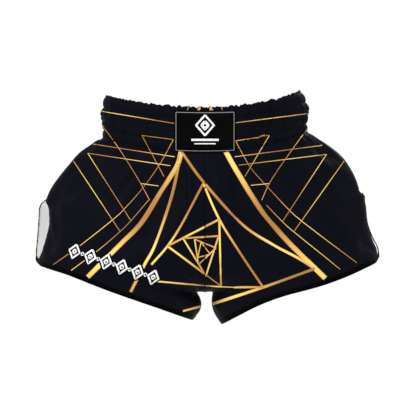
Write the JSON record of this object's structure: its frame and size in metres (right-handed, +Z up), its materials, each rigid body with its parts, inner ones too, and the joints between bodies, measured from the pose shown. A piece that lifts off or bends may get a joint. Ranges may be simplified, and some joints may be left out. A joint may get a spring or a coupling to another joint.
{
  "type": "boxing shorts",
  "caption": "Satin boxing shorts with a wide elastic waistband, flared legs, side vents and bound hems, held up at the waist.",
  "frame": {"origin": "centre of the waist opening, at half the waistband's height over the centre front", "axes": "+X to the wearer's left, across the hems; -Y is the front and +Y the back; +Z up the body"},
  "size_m": [0.5748, 0.2411, 0.388],
  "materials": {
    "satin": "near-black navy satin with a printed gold line pattern, soft sheen",
    "lining": "white unprinted reverse side of the printed satin, matt weave",
    "binding": "black bias tape with a slight satin sheen",
    "label": "black woven patch with a thin grey stitched border",
    "elastic": "white ribbed woven elastic",
    "thread": "dense black stitching"
  },
  "bodies": {
    "waist": {"waistband_casing_front": "satin", "waistband_casing_back": "satin", "waistband_facing_front": "satin", "waistband_facing_back": "satin", "elastic_band_1": "elastic", "elastic_band_2": "elastic", "elastic_band_3": "elastic", "elastic_band_4": "elastic", "label_patch": "label", "size_tag": "lining", "cord_eyelet_left": "thread", "cord_eyelet_right": "thread"},
    "left_leg": {"front_panel_left": "satin", "front_hem_binding_left": "binding", "front_vent_binding_left": "binding", "back_panel_left": "satin", "back_hem_binding_left": "binding", "back_vent_binding_left": "binding", "vent_bartack_left": "thread", "crotch_gusset_left": "satin"},
    "right_leg": {"front_panel_right": "satin", "front_hem_binding_right": "binding", "front_vent_binding_right": "binding", "back_panel_right": "satin", "back_hem_binding_right": "binding", "back_vent_binding_right": "binding", "vent_bartack_right": "thread", "crotch_gusset_right": "satin"}
  },
  "joints": [
    {"name": "left_leg_swing", "type": "hinge", "parent": "waist", "child": "left_leg", "pos_m": [0, 0, 0], "axis": [-1, 0, 0], "range_deg": [-15, 20]},
    {"name": "right_leg_swing", "type": "hinge", "parent": "waist", "child": "right_leg", "pos_m": [0, 0, 0], "axis": [-1, 0, 0], "range_deg": [-15, 20]}
  ]
}
